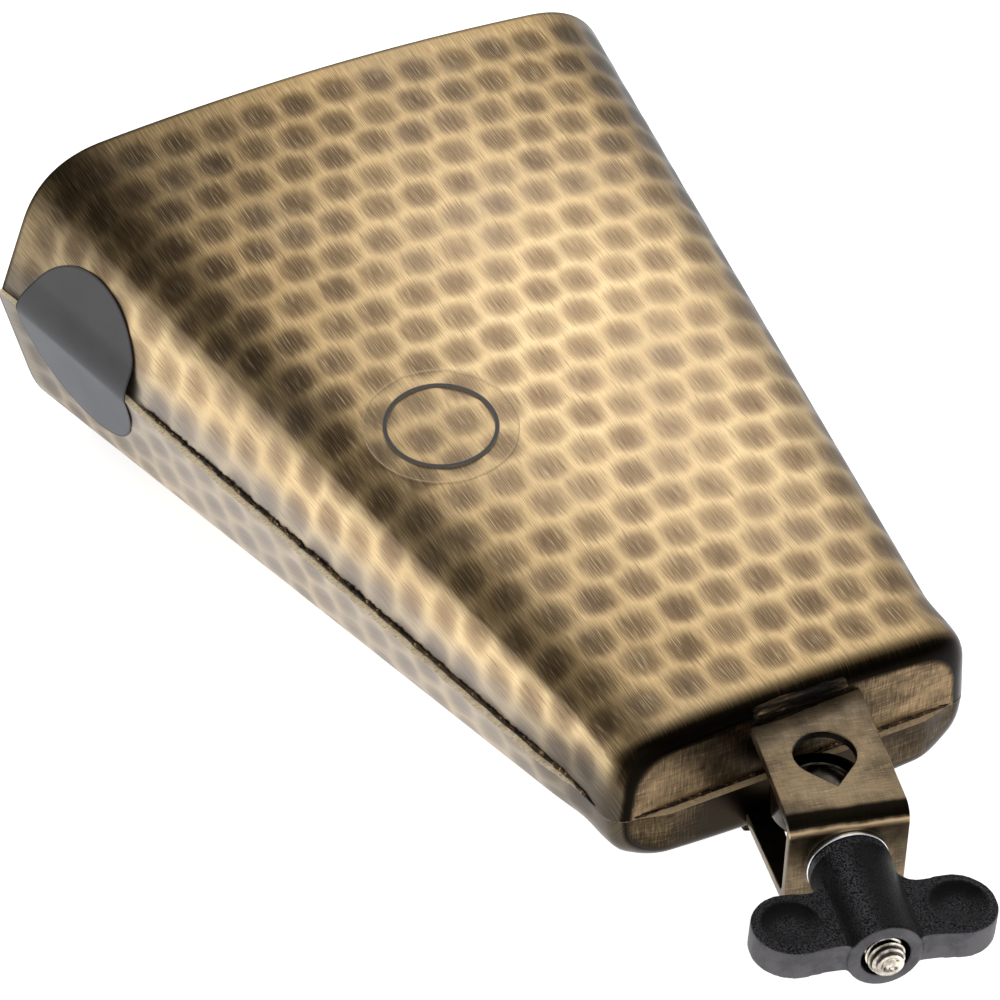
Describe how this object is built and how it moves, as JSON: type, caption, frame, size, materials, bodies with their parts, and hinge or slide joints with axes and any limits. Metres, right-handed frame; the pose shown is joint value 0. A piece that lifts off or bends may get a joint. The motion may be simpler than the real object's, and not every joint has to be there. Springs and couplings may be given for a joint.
{
  "type": "mountable cowbell",
  "caption": "Hammered steel cowbell with a wide mouth, a bent bracket on its closed end, and an eye bolt with a wing nut that clamps it to a round rod.",
  "frame": {"origin": "on the axis of the rod that the clamp grips, half way up between the bracket's two legs", "axes": "+Z along the rod, out of the bell's front face; +X along the bell from its mouth to its closed end; +Y across the bell"},
  "size_m": [0.2624, 0.1548, 0.0761],
  "materials": {
    "hammered_bronze_steel": "steel with an antique bronze plating, hammered in staggered rows, brushed along its length, dark in the dimples",
    "brushed_bronze_steel": "steel with an antique bronze plating, brushed both ways, darker at the bends",
    "dark_weld": "rough weld bead under the same plating, nearly black in its hollows and bright on its high spots",
    "nickel_plated_steel": "bright nickel plate over a rolled thread",
    "zinc_plated_steel": "bright zinc plate, slightly blue",
    "black_grained_plastic": "moulded black plastic with a fine grain, smoother and greyer on the front faces",
    "yellow_brass": "turned brass",
    "dark_grey_film": "thin satin dark grey film",
    "clear_film": "thin clear film with a plain printed ring, showing the bell's colour"
  },
  "bodies": {
    "bell": {"front_shell": "hammered_bronze_steel", "back_shell": "hammered_bronze_steel", "left_seam_weld": "dark_weld", "right_seam_weld": "dark_weld", "end_seam_weld": "dark_weld", "mounting_bracket": "brushed_bronze_steel", "bracket_weld_top": "dark_weld", "bracket_weld_bottom": "dark_weld", "side_label": "dark_grey_film", "face_label": "clear_film"},
    "eye_bolt": {"eye_bolt": "nickel_plated_steel"},
    "wing_nut": {"wing_nut": "black_grained_plastic", "wing_nut_insert": "yellow_brass", "washer": "zinc_plated_steel"}
  },
  "joints": [
    {"name": "wing_nut_spin", "type": "hinge", "parent": "bell", "child": "wing_nut", "pos_m": [0.01768, -0.00474, 0], "axis": [-0.9659, 0.2588, 0], "range_deg": [0, 1670]},
    {"name": "eye_bolt_slide", "type": "slide", "parent": "bell", "child": "eye_bolt", "axis": [0.9659, -0.2588, 0], "range_m": [0, 0.0058]}
  ],
  "couplings": [
    {"joint": "eye_bolt_slide", "follows": "wing_nut_spin", "m_per_rad": 0.00019894}
  ]
}
